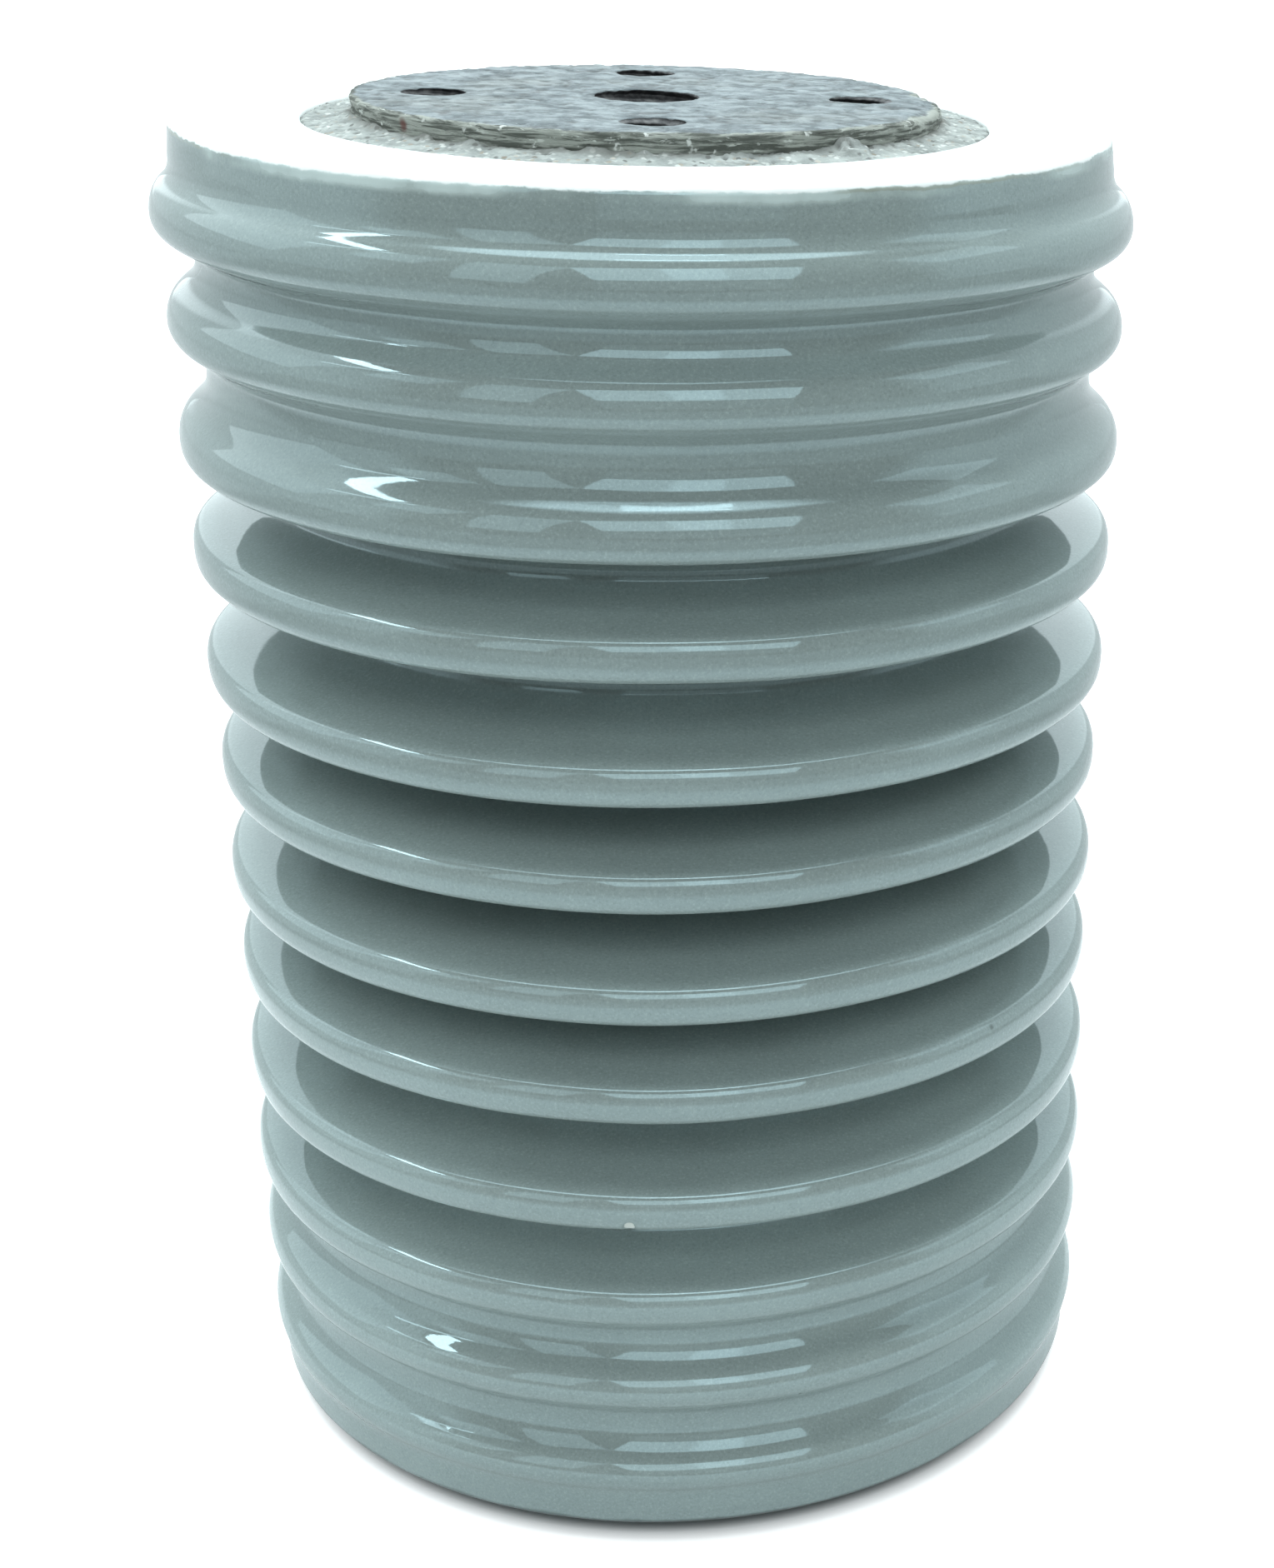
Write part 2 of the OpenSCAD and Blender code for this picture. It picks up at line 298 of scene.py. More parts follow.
def build_body():
    pts, code = body_profile()
    chip_th = math.radians(-97.0)
    base = np.linspace(0, 2 * math.pi, 206, endpoint=False)
    fine = chip_th + np.radians(np.linspace(-2.2, 2.2, 24))
    th = np.sort(np.concatenate([base, np.mod(fine, 2 * math.pi)]))
    keep = np.r_[True, np.diff(th) > 1e-4]
    th = th[keep]
    cols, rows = len(th), len(pts)
    R, Z = pts[:, 0][:, None], pts[:, 1][:, None]
    TH = th[None, :]
    glazed = (code == 2)[:, None]
    cyl = np.stack([np.broadcast_to(np.cos(TH) * 60, (rows, cols)).ravel(), np.broadcast_to(np.sin(TH) * 60, (rows, cols)).ravel(),
                    np.broadcast_to(Z, (rows, cols)).ravel()], 1)
    # the hand-turned body: slow waves round each rib, never past the plain radius at the widest rib
    wave = (fbm(cyl * [1, 1, 1.6], 46, 11, 3) - 0.5).reshape(rows, cols)
    wave2 = (fbm(cyl * [1, 1, 0.5], 30, 23, 2) - 0.5).reshape(rows, cols)
    fade = smooth(Z_HIGH - 3, Z_HIGH - 9, Z) * smooth(Z_LOW + 2, Z_LOW + 7, Z)
    rad_cap = RIB_R + 1.3
    dr = 0.42 * wave * fade * glazed
    dz = 0.50 * wave2 * fade * glazed
    r = np.minimum(R + dr, rad_cap - 0.02)
    z = Z + dz
    # the ground end faces aren't quite flat, and their outer corner is rubbed
    face = (code == 1)[:, None] | (np.abs(Z - Z_HIGH) < EDGE) | (np.abs(Z - Z_LOW) < EDGE)
    flat = np.stack([(np.cos(TH) * R).ravel(), (np.sin(TH) * R).ravel(), np.broadcast_to(Z, (rows, cols)).ravel()], 1)
    rub = fbm(flat, 5.0, 91, 4).reshape(rows, cols)
    rub2 = np.clip(fbm(flat, 2.2, 97, 3).reshape(rows, cols) - 0.60, 0, 1)
    top_side = Z > H / 2
    down = np.where(top_side, -1.0, 1.0)
    corner = np.exp(-((R - COLLAR_R + 1.0) / 1.3) ** 2)
    z = z + face * (R > SOCK_R + 0.5) * down * (0.05 * rub + corner * (0.25 * np.clip(rub - 0.45, 0, 1) + 1.2 * rub2))
    # a small chip in the lip of the ninth rib
    cz = rib_z(8) - 2.6
    arc = (np.mod(TH - chip_th + math.pi, 2 * math.pi) - math.pi) * 86.8
    d2 = (arc / 1.05) ** 2 + ((Z - cz) / 1.0) ** 2
    on_lip = (R > 84.5) & glazed
    chip = np.where(on_lip, np.exp(-d2 ** 1.6), 0)
    r = r - 0.75 * chip
    z = z + 0.35 * chip
    co = np.stack([r * np.cos(TH), r * np.sin(TH), np.broadcast_to(z, (rows, cols))], -1).reshape(-1, 3)
    faces = [grid_faces(rows, cols)]
    n = len(co)
    co = np.concatenate([co, [[0, 0, H - SOCK_FLOOR], [0, 0, SOCK_FLOOR]]])
    c = np.arange(cols)
    top_fan = np.stack([np.full(cols, n), (c + 1) % cols, c], 1)
    b = (rows - 1) * cols
    low_fan = np.stack([np.full(cols, n + 1), b + c, b + (c + 1) % cols], 1)
    faces += [top_fan, low_fan]

    def col(a):
        return np.concatenate([np.broadcast_to(a, (rows, cols)).ravel(), [0, 0]])

    bare = col((code == 1)[:, None] * 1.0)
    sock = np.concatenate([np.broadcast_to((code == 0)[:, None] * 1.0, (rows, cols)).ravel(), [1, 1]])
    depth = col(np.clip((RIB_R - R) / 22.0, 0, 1) * glazed)
    ob = make_mesh("porcelain_body_glazed", co, faces, {"bare": bare, "sock": sock, "depth": depth, "chip": col(chip)}, flip=True)
    return ob


# ------------------------------------------------------------------ inserts
M20 = dict(minor=8.65, major=10.0, pitch=2.5, deep=30.0, cols=72, per=10)
M12 = dict(minor=5.10, major=6.0, pitch=1.75, deep=22.0, cols=48, per=8)
HOLES = [(0.0, 0.0, M20, 0.35)] + [(38.0 * math.cos(a), 38.0 * math.sin(a), M12, k * 0.23)
                                   for k, a in enumerate(np.radians([0, 90, 180, 270]))]


def thread_r(hole, th, d, turn):
    """Wall radius of a right-hand tapped hole at angle th and depth d."""
    ph = np.mod(d / hole["pitch"] + th / (2 * math.pi) + turn, 1.0)
    h = np.clip(np.abs(2 * ph - 1) * 1.45 - 0.22, 0, 1)
    run = 1 - smooth(hole["deep"] - 4.0, hole["deep"] - 2.0, d)
    return hole["minor"] + (hole["major"] - hole["minor"]) * h * run


def relief(xy, seed):
    """How far the cast face lies below its plane, in mm, and how pitted it is."""
    p = np.column_stack([xy, np.zeros(len(xy))])
    warp = np.column_stack([fbm(p, 9, seed + 3, 2), fbm(p, 9, seed + 4, 2), np.zeros(len(p))]) * 3.0
    a = ridged(p + warp, 5.2, seed, 4, 0.6)
    b = fbm(p + warp, 1.9, seed + 40, 3)
    c = fbm(p, 22, seed + 60, 2)
    f1, f2 = cells(p + warp * 0.8, 4.2, seed + 70)
    pit = smooth(0.30, 0.10, f1 + 0.25 * (fbm(p, 1.5, seed + 71, 2) - 0.5)) * (fbm(p, 7, seed + 72, 2) > 0.52)
    crack = smooth(0.055, 0.0, np.abs(fbm(p + warp, 8, seed + 80, 3) - 0.5)) * smooth(0.45, 0.62, fbm(p, 11, seed + 81, 2))
    low = 0.10 * (1 - a) + 0.30 * np.clip(b - 0.38, 0, 1) + 0.14 * c + 0.26 * pit + 0.16 * crack
    return low, np.clip(pit + 0.8 * crack, 0, 1)


def build_insert(name, node, top, seed, broken):
    """The cast insert of one end: face, holes and threads, rough rim, keying grooves. broken is the angle where the rim is worst eaten away."""
    co, faces, extra = [], [], {"wall": [], "pit": [], "hole": []}
    count = [0]

    def put(pts, wall, pit, hole):
        start = count[0]
        co.append(np.asarray(pts, float))
        n = len(pts)
        for key, v in (("wall", wall), ("pit", pit), ("hole", hole)):
            extra[key].append(np.broadcast_to(np.asarray(v, float), (n,)))
        count[0] += n
        return start

    n_out = 620
    tho = np.linspace(0, 2 * math.pi, n_out, endpoint=False)
    ring = np.column_stack([np.cos(tho), np.sin(tho), np.zeros(n_out)]) * INS_R
    away = (np.mod(tho - broken + math.pi, 2 * math.pi) - math.pi)
    bad = np.exp(-(away / 0.55) ** 2)
    eat = np.clip(fbm(ring, 6.0, seed + 5, 3) - 0.42, 0, 1) * 2.4 + np.clip(fbm(ring, 1.8, seed + 6, 3) - 0.45, 0, 1) * 2.0
    w = 0.35 + eat * (0.75 + 1.5 * bad) + 0.5 * bad
    rim_r = INS_R - w
    # face points: a jittered hexagonal net between the rim and the holes' mouths
    step = 0.66
    ys = np.arange(-INS_R, INS_R + step, step * math.sqrt(3) / 2)
    net = []
    for k, y in enumerate(ys):
        xs = np.arange(-INS_R, INS_R + step, step) + (step / 2 if k % 2 else 0)
        net.append(np.column_stack([xs, np.full(len(xs), y)]))
    net = np.concatenate(net)
    p3 = np.column_stack([net, np.zeros(len(net))])
    net = net + np.column_stack([noise(p3, 0.37, seed + 8) - 0.5, noise(p3, 0.37, seed + 9) - 0.5]) * 0.22
    rr, aa = np.hypot(net[:, 0], net[:, 1]), np.mod(np.arctan2(net[:, 1], net[:, 0]), 2 * math.pi)
    edge_at = np.interp(aa, np.r_[tho, 2 * math.pi], np.r_[rim_r, rim_r[0]])
    keep = rr < edge_at - step * 0.7
    rings = [np.column_stack([rim_r * np.cos(tho), rim_r * np.sin(tho)])]
    for hx, hy, hole, turn in HOLES:
        t = np.linspace(0, 2 * math.pi, hole["cols"], endpoint=False)
        hr = thread_r(hole, t, np.zeros(len(t)), turn)
        wear = 0.10 + 0.35 * np.clip(fbm(np.column_stack([hx + 9 * np.cos(t), hy + 9 * np.sin(t), np.zeros(len(t))]), 3.0, seed + 12, 3) - 0.40, 0, 1)
        hr = np.maximum(hr, hole["minor"] + 0.25) + wear
        rings.append(np.column_stack([hx + hr * np.cos(t), hy + hr * np.sin(t)]))
        dist = np.hypot(net[:, 0] - hx, net[:, 1] - hy)
        keep &= dist > hole["major"] + step * 0.9
    net = net[keep]
    flat, edges, groups = [], [], []
    for ring2 in rings:
        s = sum(len(f) for f in flat)
        flat.append(ring2)
        k = np.arange(len(ring2))
        edges += [(int(s + i), int(s + (i + 1) % len(ring2))) for i in k]
        groups.append((s, len(ring2)))
    flat.append(net)
    flat = np.concatenate(flat)
    out = delaunay_2d_cdt([Vector(v) for v in flat], edges, [], 0, 1e-6, True)
    v2 = np.array([(v.x, v.y) for v in out[0]])
    tri = np.array([f for f in out[2] if len(f) == 3])
    orig = out[3]
    back = np.full(len(flat), -1)
    for new, olds in enumerate(orig):
        for o in olds:
            if o < len(flat):
                back[o] = new
    mid = v2[tri].mean(1)
    inside = np.ones(len(tri), bool)
    for hx, hy, hole, turn in HOLES:
        inside &= np.hypot(mid[:, 0] - hx, mid[:, 1] - hy) > hole["minor"] + 0.12
    ring_ids = [back[s:s + n] for s, n in groups]
    member = np.full(len(v2), -1)
    for g, ids in enumerate(ring_ids):
        member[ids] = g
    ma = member[tri]
    same = (ma[:, 0] >= 0) & (ma[:, 0] == ma[:, 1]) & (ma[:, 1] == ma[:, 2])
    hole_tri = same & (ma[:, 0] > 0)
    for g, (hx, hy, hole, turn) in enumerate(HOLES, 1):
        d = np.hypot(mid[:, 0] - hx, mid[:, 1] - hy)
        hole_tri |= same & (ma[:, 0] == g) & (d < hole["major"] + 0.5)
    m_r, m_a = np.hypot(mid[:, 0], mid[:, 1]), np.mod(np.arctan2(mid[:, 1], mid[:, 0]), 2 * math.pi)
    inside &= ~hole_tri
    inside &= ~(same & (ma[:, 0] == 0) & (m_r > np.interp(m_a, np.r_[tho, 2 * math.pi], np.r_[rim_r, rim_r[0]]) + 0.02))
    tri = tri[inside]
    a, b, c = v2[tri[:, 0]], v2[tri[:, 1]], v2[tri[:, 2]]
    area = (b[:, 0] - a[:, 0]) * (c[:, 1] - a[:, 1]) - (b[:, 1] - a[:, 1]) * (c[:, 0] - a[:, 0])
    tri[area < 0] = tri[area < 0][:, ::-1]
    low, pit = relief(v2, seed)
    rv = np.hypot(v2[:, 0], v2[:, 1])
    av = np.mod(np.arctan2(v2[:, 1], v2[:, 0]), 2 * math.pi)
    near = np.interp(av, np.r_[tho, 2 * math.pi], np.r_[rim_r, rim_r[0]]) - rv
    bad_v = np.interp(av, np.r_[tho, 2 * math.pi], np.r_[bad, bad[0]])
    low = low + np.exp(-np.clip(near, 0, None) / 1.6) * (0.10 + 0.35 * bad_v) + np.exp(-np.clip(near, 0, None) / 6.0) * 0.35 * bad_v
    around = np.zeros(len(v2))
    for hx, hy, hole, turn in HOLES:
        d = np.hypot(v2[:, 0] - hx, v2[:, 1] - hy) - hole["major"]
        around = np.maximum(around, np.exp(-np.clip(d, 0, None) / 1.2))
    low = low + 0.10 * around
    b0 = put(np.column_stack([v2, -low]), np.exp(-np.clip(near, 0, None) / 0.8), pit, around * 0.5)
    faces.append(tri + b0)
    # rim and side wall: from the face's edge round to the wall, down past the keying grooves to the underside
    ids = ring_ids[0]
    low_rim = low[ids]
    rows = []
    e_steps = 5
    for k in range(1, e_steps + 1):
        u = k / e_steps * math.pi / 2
        rows.append((INS_R - w + w * math.sin(u) * 0.93, low_rim + (0.25 + w * 0.75) * (1 - math.cos(u)), 1.0))
    last_r, last_d = rows[-1][0], rows[-1][1]
    wall_d = [2.0, 2.5, 3.0, 3.5, 4.0, 4.5, 5.0]
    key = [(INS_R, -INS_H * 0.29), (INS_R - 3.5, -INS_H * 0.29 - 2.5), (INS_R - 3.5, -INS_H * 0.29 - 7), (INS_R, -INS_H * 0.29 - 9.5),
           (INS_R, -INS_H * 0.64), (INS_R - 3.5, -INS_H * 0.64 - 2.5), (INS_R - 3.5, -INS_H * 0.64 - 7), (INS_R, -INS_H * 0.64 - 9.5),
           (INS_R, -INS_H + 0.8), (INS_R - 0.8, -INS_H)]
    for d in wall_d:
        q = np.column_stack([np.cos(tho) * INS_R, np.sin(tho) * INS_R, np.full(n_out, d)])
        rough = 0.55 * np.clip(fbm(q * [1, 1, 1.3], 2.6, seed + 21, 4) - 0.35, 0, 1) + 0.55 * np.clip(ridged(q * [1, 1, 2.0], 5.0, seed + 22, 3) - 0.55, 0, 1)
        rough = rough * smooth(6.5, 4.5, d)
        share = (d - 1.2) / (5.0 - 1.2)
        dd = np.maximum(last_d + 0.12 + (5.0 - last_d - 0.12) * share, 0)
        rows.append((np.minimum(INS_R - rough - 0.02, INS_R - 0.02), dd, 1.0))
    for r, z in key:
        rows.append((np.full(n_out, r), np.full(n_out, -z), 0.6))
    prev = ids + b0
    for r, d, wl in rows:
        s = put(np.column_stack([r * np.cos(tho), r * np.sin(tho), -np.broadcast_to(d, (n_out,))]), wl, 0, 0)
        cur = s + np.arange(n_out)
        nxt = np.roll(cur, -1)
        pn = np.roll(prev, -1)
        faces.append(np.stack([prev, cur, nxt, pn], 1))
        prev = cur
    s = put([[0, 0, -INS_H]], 0.6, 0, 0)
    faces.append(np.stack([np.full(n_out, s), np.roll(prev, -1), prev], 1))
    # tapped holes
    for g, (hx, hy, hole, turn) in enumerate(HOLES, 1):
        n = hole["cols"]
        t = np.linspace(0, 2 * math.pi, n, endpoint=False)
        ids = ring_ids[g]
        mouth_r = np.hypot(v2[ids, 0] - hx, v2[ids, 1] - hy)
        mouth_low = low[ids]
        prev = ids + b0
        ds = np.r_[0.18, np.arange(0.4, hole["deep"] - 1.5, hole["pitch"] / hole["per"]), hole["deep"]]
        for d in ds:
            tr = thread_r(hole, t, np.full(n, d), turn)
            blend = smooth(0.0, 0.6, d)
            worn = 0.05 * fbm(np.column_stack([hx + 9 * np.cos(t), hy + 9 * np.sin(t), np.full(n, d)]), 1.6, seed + 33, 2)
            r = mouth_r * (1 - blend) + tr * blend + worn
            s = put(np.column_stack([hx + r * np.cos(t), hy + r * np.sin(t), -(mouth_low * (1 - smooth(0, 3, d)) + d)]), 0, 0, 1.0)
            cur = s + np.arange(n)
            faces.append(np.stack([prev, np.roll(prev, -1), np.roll(cur, -1), cur], 1))
            prev = cur
        s = put([[hx, hy, -(hole["deep"] + hole["minor"] * 0.6)]], 0, 0, 1.0)
        faces.append(np.stack([np.full(n, s), prev, np.roll(prev, -1)], 1))
    co = np.concatenate(co)
    co[:, 2] = np.minimum(co[:, 2], 0)
    attrs = {k: np.concatenate(v) for k, v in extra.items()}
    if top:
        co = co + [0, 0, H]
    else:
        co = co * [1, 1, -1]
    ob = make_mesh(name, co, faces, attrs, flip=not top)
    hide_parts(node)
    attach(ob, "root")
    return ob


# ------------------------------------------------------------------ cement rings
def build_cement(name, node, top, seed, lump):
    """The mortar in one end: granular top between insert and socket, plain sides where it meets the other pieces. lump is where a cracked dab sits."""
    n = 860
    th = np.linspace(0, 2 * math.pi, n, endpoint=False)
    r_in, r_out = INS_R - 0.75, SOCK_R
    line = []
    rs = np.r_[r_in, np.arange(r_in + 0.45, r_out - 0.3, 0.44), r_out]
    rows_r = [np.full(n, r) for r in rs]
    top_rows = []
    for k, r in enumerate(rs):
        q = np.column_stack([np.cos(th) * r, np.sin(th) * r, np.zeros(n)])
        # the mortar was struck off sloping up towards the insert
        base = PROUD + 0.62 - 1.15 * (1 - np.clip((r - INS_R) / (r_out - INS_R), 0, 1)) ** 1.2
        slump = 0.45 * (fbm(q, 13, seed, 3) - 0.5)
        grain = 0.34 * (fbm(q, 1.5, seed + 1, 3) - 0.5)
        f1, f2 = cells(q, 1.15, seed + 2)
        sand = 0.20 * (smooth(0.55, 0.1, f1) - 0.4)
        f1b, f2b = cells(q, 3.4, seed + 6)
        hole = smooth(0.20, 0.06, f1b) * (noise(q, 5, seed + 7) > 0.55)
        climb = np.exp(-((r - INS_R) / 0.9) ** 2) * np.clip(fbm(q, 7, seed + 8, 3) - 0.48, 0, 1) * 4.0
        gap = np.exp(-((r - r_out) / 0.35) ** 2) * np.clip(fbm(q, 9, seed + 9, 3) - 0.40, 0, 1) * 2.4
        lx, ly, lr = lump
        dl = np.hypot(q[:, 0] - lx, q[:, 1] - ly)
        dab = smooth(lr, lr * 0.55, dl + 0.9 * (fbm(q, 2.0, seed + 10, 2) - 0.5))
        split = smooth(0.035, 0.0, np.abs(fbm(q, 3.6, seed + 12, 2) - 0.5)) * dab
        d = base - slump - grain - sand + 0.5 * hole - climb - dab * 1.5 + split * 1.3 + gap
        d = np.clip(d, 1.6 if r < INS_R + 1.4 else np.interp(r, [INS_R, r_out], [2.5, PROUD + 0.05]), 7.0)
        top_rows.append((d, hole + split * 0.9, np.exp(-((r - r_out) / 0.45) ** 2)))
    floor_d = SOCK_FLOOR
    grit = 1.0
    rim_d = PROUD + 0.4
    side = [(r_out, rim_d + 3.2), (r_out, rim_d + 5), (r_out - grit, rim_d + 5), (r_out - grit, floor_d - 4), (r_out, floor_d - 4),
            (r_out, floor_d - 3), (r_out - 3, floor_d), (INS_R, floor_d), (INS_R, INS_H - 0.8), (INS_R + 0.5, INS_H - 0.8),
            (INS_R + 0.5, INS_H * 0.64 + 9.5), (INS_R - 3.0, INS_H * 0.64 + 7), (INS_R - 3.0, INS_H * 0.64 + 2.5), (INS_R + 0.5, INS_H * 0.64),
            (INS_R + 0.5, INS_H * 0.29 + 9.5), (INS_R - 3.0, INS_H * 0.29 + 7), (INS_R - 3.0, INS_H * 0.29 + 2.5), (INS_R + 0.5, INS_H * 0.29),
            (INS_R + 0.5, rim_d + 3.4), (r_in, rim_d + 3.0)]
    R = [r for r in rows_r] + [np.full(n, s[0]) for s in side]
    D = [t[0] for t in top_rows] + [np.full(n, s[1]) for s in side]
    pit = [t[1] for t in top_rows] + [np.zeros(n)] * len(side)
    seam = [t[2] for t in top_rows] + [np.zeros(n)] * len(side)
    R, D = np.array(R), np.array(D)
    rows = len(R)
    co = np.stack([R * np.cos(th), R * np.sin(th), -D], -1).reshape(-1, 3)
    f = grid_faces(rows, n)
    c = np.arange(n)
    nx = (c + 1) % n
    last = (rows - 1) * n
    closing = np.stack([last + c, last + nx, nx, c], 1)
    insert_corner_shade = np.broadcast_to(np.exp(-((R - INS_R) / 1.4) ** 2) * (np.arange(rows)[:, None] < len(rs)), (rows, n))
    attrs = {"pit": np.array([np.broadcast_to(x, (n,)) for x in pit]).ravel(), "seam": np.array([np.broadcast_to(x, (n,)) for x in seam]).ravel(),
             "insert_corner_shade": insert_corner_shade.ravel()}
    if top:
        co = co + [0, 0, H]
    else:
        co = co * [1, 1, -1]
    ob = make_mesh(name, co, [f, closing], attrs, flip=top)
    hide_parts(node)
    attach(ob, "root")
    return ob


# ------------------------------------------------------------------ materials
# the third value is the strength of the painted shade in the grooves
GLAZE_LO, GLAZE_HI, GROOVE_SHADE = (0.256, 0.304, 0.294), (0.280, 0.333, 0.322), 0.26


class Nodes:
    """Small helper to write a node material in a few lines."""

    def __init__(self, name):
        self.m = bpy.data.materials.new(name)
        self.m.use_nodes = True
        self.t = self.m.node_tree
        self.t.nodes.clear()
        self.out = self.t.nodes.new("ShaderNodeOutputMaterial")
        self.b = self.t.nodes.new("ShaderNodeBsdfPrincipled")
        self.t.links.new(self.b.outputs[0], self.out.inputs[0])
        tc = self.t.nodes.new("ShaderNodeTexCoord")
        self.pos = tc.outputs["Object"]

    def set(self, **kw):
        for k, v in kw.items():
            s = self.b.inputs[k.replace("_", " ")]
            if isinstance(v, bpy.types.NodeSocket):
                self.t.links.new(v, s)
            else:
                s.default_value = v

    def _in(self, sock, v):
        if isinstance(v, bpy.types.NodeSocket):
            self.t.links.new(v, sock)
        else:
            sock.default_value = v

    def noise(self, scale, detail=4, rough=0.55, vec=None, distort=0.0):
        n = self.t.nodes.new("ShaderNodeTexNoise")
        self.t.links.new(vec or self.pos, n.inputs["Vector"])
        n.inputs["Scale"].default_value = scale
        n.inputs["Detail"].default_value = detail
        n.inputs["Roughness"].default_value = rough
        n.inputs["Distortion"].default_value = distort
        return n.outputs[0]

    def voronoi(self, scale, feature="F1", vec=None, randomness=1.0):
        n = self.t.nodes.new("ShaderNodeTexVoronoi")
        n.feature = feature
        self.t.links.new(vec or self.pos, n.inputs["Vector"])
        n.inputs["Scale"].default_value = scale
        n.inputs["Randomness"].default_value = randomness
        return n.outputs

    def math(self, op, a, b=None, c=None, clamp=False):
        n = self.t.nodes.new("ShaderNodeMath")
        n.operation = op
        n.use_clamp = clamp
        self._in(n.inputs[0], a)
        if b is not None:
            self._in(n.inputs[1], b)
        if c is not None:
            self._in(n.inputs[2], c)
        return n.outputs[0]

    def ramp(self, fac, lo, hi, a=0.0, b=1.0):
        n = self.t.nodes.new("ShaderNodeMapRange")
        n.interpolation_type = "SMOOTHSTEP"
        self._in(n.inputs["Value"], fac)
        n.inputs["From Min"].default_value = lo
        n.inputs["From Max"].default_value = hi
        n.inputs["To Min"].default_value = a
        n.inputs["To Max"].default_value = b
        return n.outputs[0]

    def mix(self, fac, a, b, mode="MIX"):
        n = self.t.nodes.new("ShaderNodeMix")
        n.data_type = "RGBA"
        n.blend_type = mode
        self._in(n.inputs[0], fac)
        self._in(n.inputs[6], a)
        self._in(n.inputs[7], b)
        return n.outputs[2]

    def attr(self, name):
        n = self.t.nodes.new("ShaderNodeAttribute")
        n.attribute_name = name
        return n.outputs["Fac"]

    def stretch(self, x, y, z):
        n = self.t.nodes.new("ShaderNodeMapping")
        self.t.links.new(self.pos, n.inputs["Vector"])
        n.inputs["Scale"].default_value = (x, y, z)
        return n.outputs[0]

    def xyz(self):
        n = self.t.nodes.new("ShaderNodeSeparateXYZ")
        self.t.links.new(self.pos, n.inputs[0])
        return n.outputs

    def spot(self, th, r, z, size, soft=0.6):
        """1 within size mm of the point at angle th (degrees), radius r and height z (mm), fading to 0."""
        n = self.t.nodes.new("ShaderNodeVectorMath")
        n.operation = "DISTANCE"
        self.t.links.new(self.pos, n.inputs[0])
        a = math.radians(th)
        n.inputs[1].default_value = (r * math.cos(a) * MM, r * math.sin(a) * MM, z * MM)
        return self.ramp(n.outputs["Value"], size * MM * (1 + soft), size * MM * (1 - soft))

    def bump(self, height, strength, distance, normal=None):
        n = self.t.nodes.new("ShaderNodeBump")
        n.inputs["Strength"].default_value = strength
        n.inputs["Distance"].default_value = distance
        self.t.links.new(height, n.inputs["Height"])
        if normal is not None:
            self.t.links.new(normal, n.inputs["Normal"])
        return n.outputs[0]


def rgb(r, g, b):
    """Linear colour with alpha."""
    return (r, g, b, 1.0)


